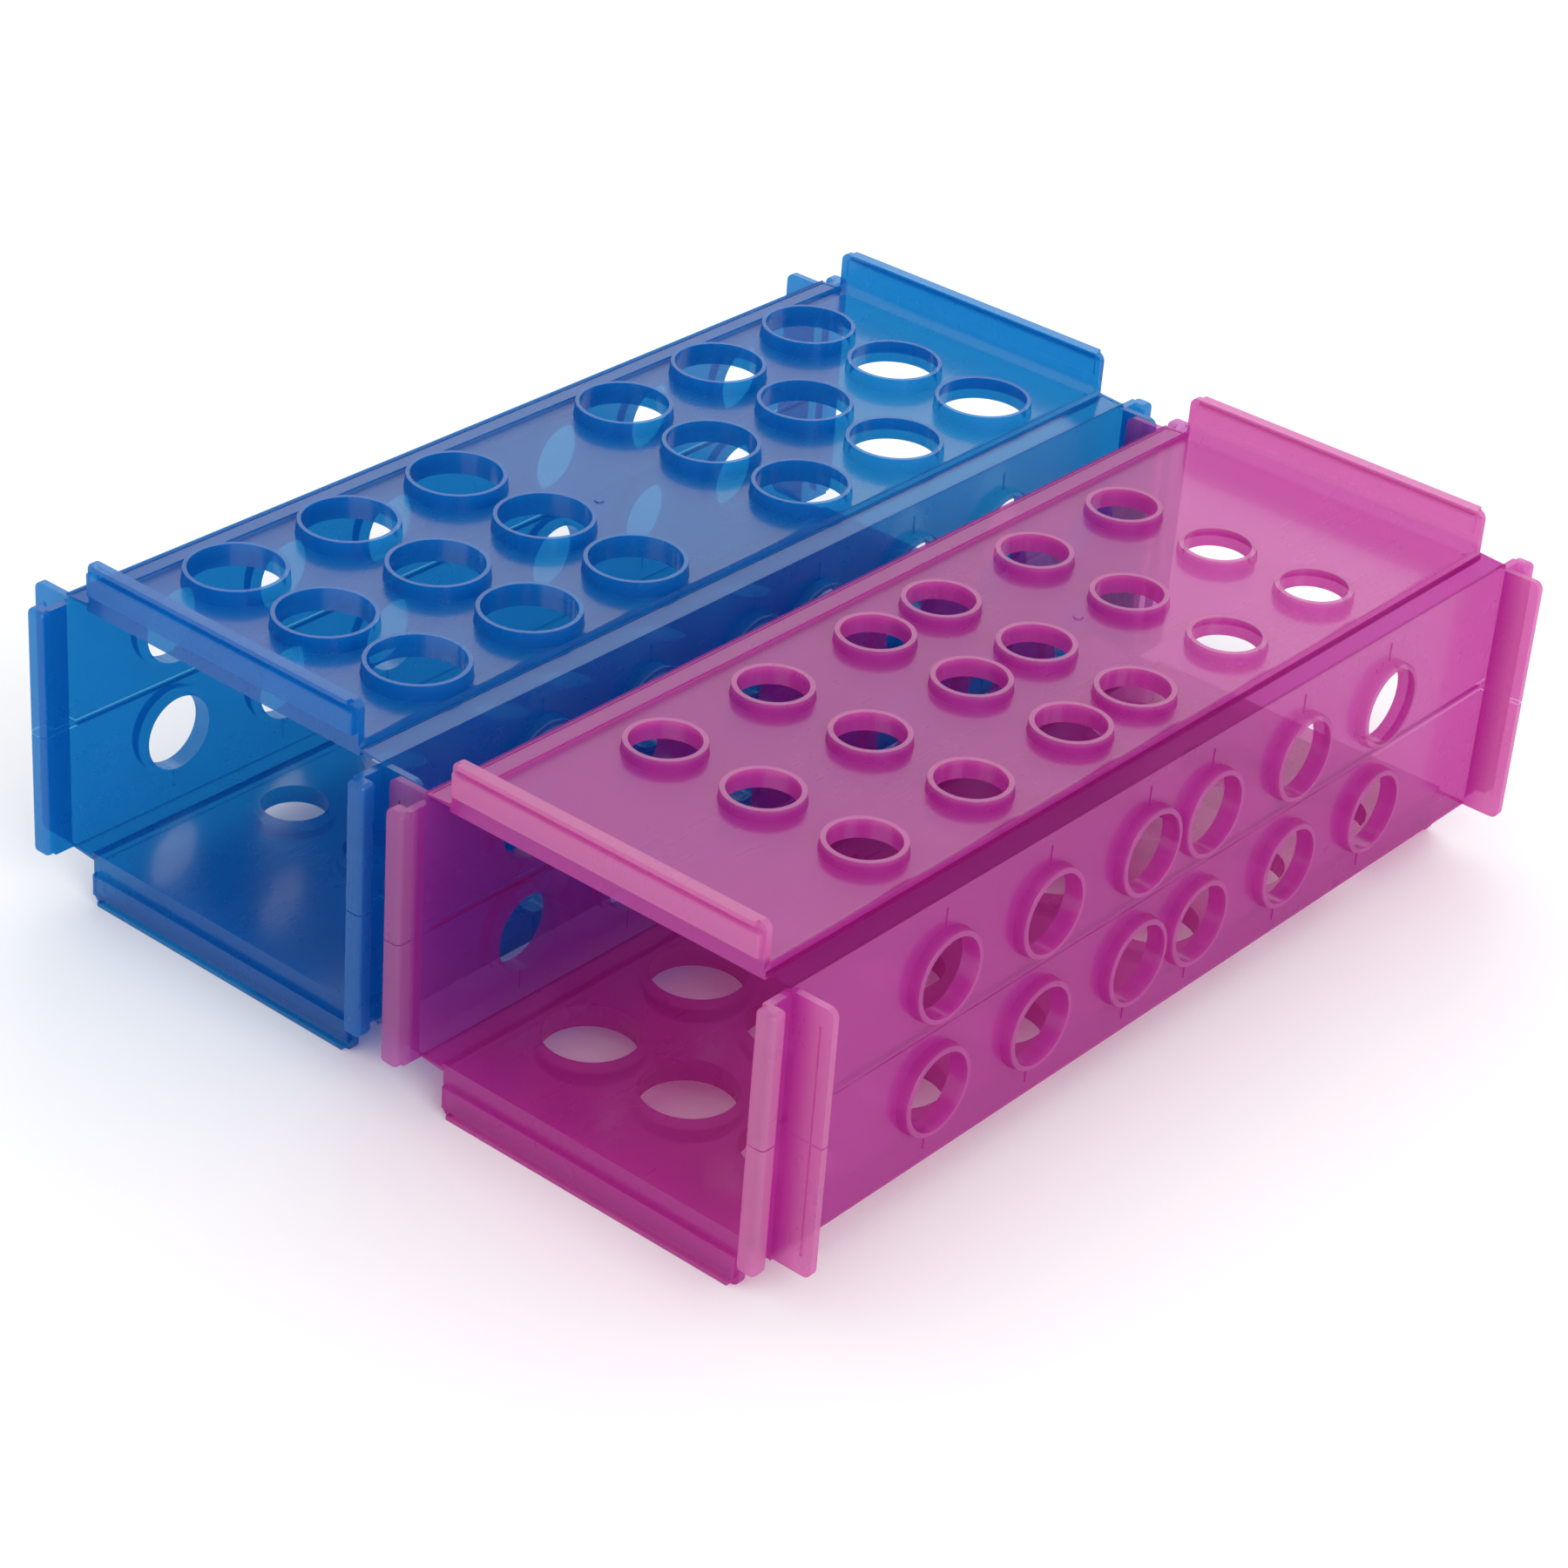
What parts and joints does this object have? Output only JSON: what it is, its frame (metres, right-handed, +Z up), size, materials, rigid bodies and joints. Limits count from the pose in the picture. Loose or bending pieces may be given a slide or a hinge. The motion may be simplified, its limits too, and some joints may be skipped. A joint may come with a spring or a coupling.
{
  "type": "test tube rack",
  "caption": "Pair of fold-flat plastic test tube racks: open-ended box sleeves with collared round holes in every face, hinged side walls and end flanges.",
  "frame": {"origin": "centre of the pair's footprint, on the bench plane under the end flanges", "axes": "+Z up, +Y along the length of the racks, +X from the blue rack to the magenta rack"},
  "size_m": [0.2714, 0.3244, 0.102],
  "materials": {
    "blue": "satin",
    "magenta": "satin"
  },
  "bodies": {
    "blue_base": {"blue_bottom_panel": "blue", "blue_bottom_left_strip": "blue", "blue_bottom_right_strip": "blue"},
    "blue_right_lower": {"blue_right_lower_wall": "blue", "blue_right_fold_web": "blue"},
    "blue_right_upper": {"blue_right_upper_wall": "blue"},
    "blue_top": {"blue_top_panel": "blue", "blue_top_left_strip": "blue", "blue_top_right_strip": "blue"},
    "blue_left_lower": {"blue_left_lower_wall": "blue", "blue_left_fold_web": "blue"},
    "blue_left_upper": {"blue_left_upper_wall": "blue"},
    "magenta_base": {"magenta_bottom_panel": "magenta", "magenta_bottom_left_strip": "magenta", "magenta_bottom_right_strip": "magenta"},
    "magenta_right_lower": {"magenta_right_lower_wall": "magenta", "magenta_right_fold_web": "magenta"},
    "magenta_right_upper": {"magenta_right_upper_wall": "magenta"},
    "magenta_top": {"magenta_top_panel": "magenta", "magenta_top_left_strip": "magenta", "magenta_top_right_strip": "magenta"},
    "magenta_left_lower": {"magenta_left_lower_wall": "magenta", "magenta_left_fold_web": "magenta"},
    "magenta_left_upper": {"magenta_left_upper_wall": "magenta"}
  },
  "joints": [
    {"name": "racks_apart", "type": "slide", "parent": "blue_base", "child": "magenta_base", "axis": [1, 0, 0], "range_m": [0, 0.122]},
    {"name": "blue_right_bottom_fold", "type": "hinge", "parent": "blue_base", "child": "blue_right_lower", "pos_m": [-0.0085, 0.0012, 0.0125], "axis": [0, 1, 0], "range_deg": [0, 88]},
    {"name": "blue_right_middle_fold", "type": "hinge", "parent": "blue_right_lower", "child": "blue_right_upper", "pos_m": [-0.0107, 0.0012, 0.051], "axis": [0, 1, 0], "range_deg": [-176, 0]},
    {"name": "blue_right_top_fold", "type": "hinge", "parent": "blue_right_upper", "child": "blue_top", "pos_m": [-0.0085, 0.0012, 0.0895], "axis": [0, 1, 0], "range_deg": [0, 88]},
    {"name": "blue_left_bottom_fold", "type": "hinge", "parent": "blue_base", "child": "blue_left_lower", "pos_m": [-0.1235, 0.0012, 0.0125], "axis": [0, 1, 0], "range_deg": [-88, 0]},
    {"name": "blue_left_middle_fold", "type": "hinge", "parent": "blue_left_lower", "child": "blue_left_upper", "pos_m": [-0.1213, 0.0012, 0.051], "axis": [0, 1, 0], "range_deg": [0, 176]},
    {"name": "magenta_right_bottom_fold", "type": "hinge", "parent": "magenta_base", "child": "magenta_right_lower", "pos_m": [0.1235, -0.0012, 0.0125], "axis": [0, 1, 0], "range_deg": [0, 88]},
    {"name": "magenta_right_middle_fold", "type": "hinge", "parent": "magenta_right_lower", "child": "magenta_right_upper", "pos_m": [0.1213, -0.0012, 0.051], "axis": [0, 1, 0], "range_deg": [-176, 0]},
    {"name": "magenta_right_top_fold", "type": "hinge", "parent": "magenta_right_upper", "child": "magenta_top", "pos_m": [0.1235, -0.0012, 0.0895], "axis": [0, 1, 0], "range_deg": [0, 88]},
    {"name": "magenta_left_bottom_fold", "type": "hinge", "parent": "magenta_base", "child": "magenta_left_lower", "pos_m": [0.0085, -0.0012, 0.0125], "axis": [0, 1, 0], "range_deg": [-88, 0]},
    {"name": "magenta_left_middle_fold", "type": "hinge", "parent": "magenta_left_lower", "child": "magenta_left_upper", "pos_m": [0.0107, -0.0012, 0.051], "axis": [0, 1, 0], "range_deg": [0, 176]}
  ],
  "couplings": [
    {"joint": "blue_right_bottom_fold", "follows": "racks_apart", "rad_per_m": 12.5},
    {"joint": "blue_right_middle_fold", "follows": "racks_apart", "rad_per_m": -25},
    {"joint": "blue_right_top_fold", "follows": "racks_apart", "rad_per_m": 12.5},
    {"joint": "blue_left_bottom_fold", "follows": "racks_apart", "rad_per_m": -12.5},
    {"joint": "blue_left_middle_fold", "follows": "racks_apart", "rad_per_m": 25},
    {"joint": "magenta_right_bottom_fold", "follows": "racks_apart", "rad_per_m": 12.5},
    {"joint": "magenta_right_middle_fold", "follows": "racks_apart", "rad_per_m": -25},
    {"joint": "magenta_right_top_fold", "follows": "racks_apart", "rad_per_m": 12.5},
    {"joint": "magenta_left_bottom_fold", "follows": "racks_apart", "rad_per_m": -12.5},
    {"joint": "magenta_left_middle_fold", "follows": "racks_apart", "rad_per_m": 25}
  ]
}
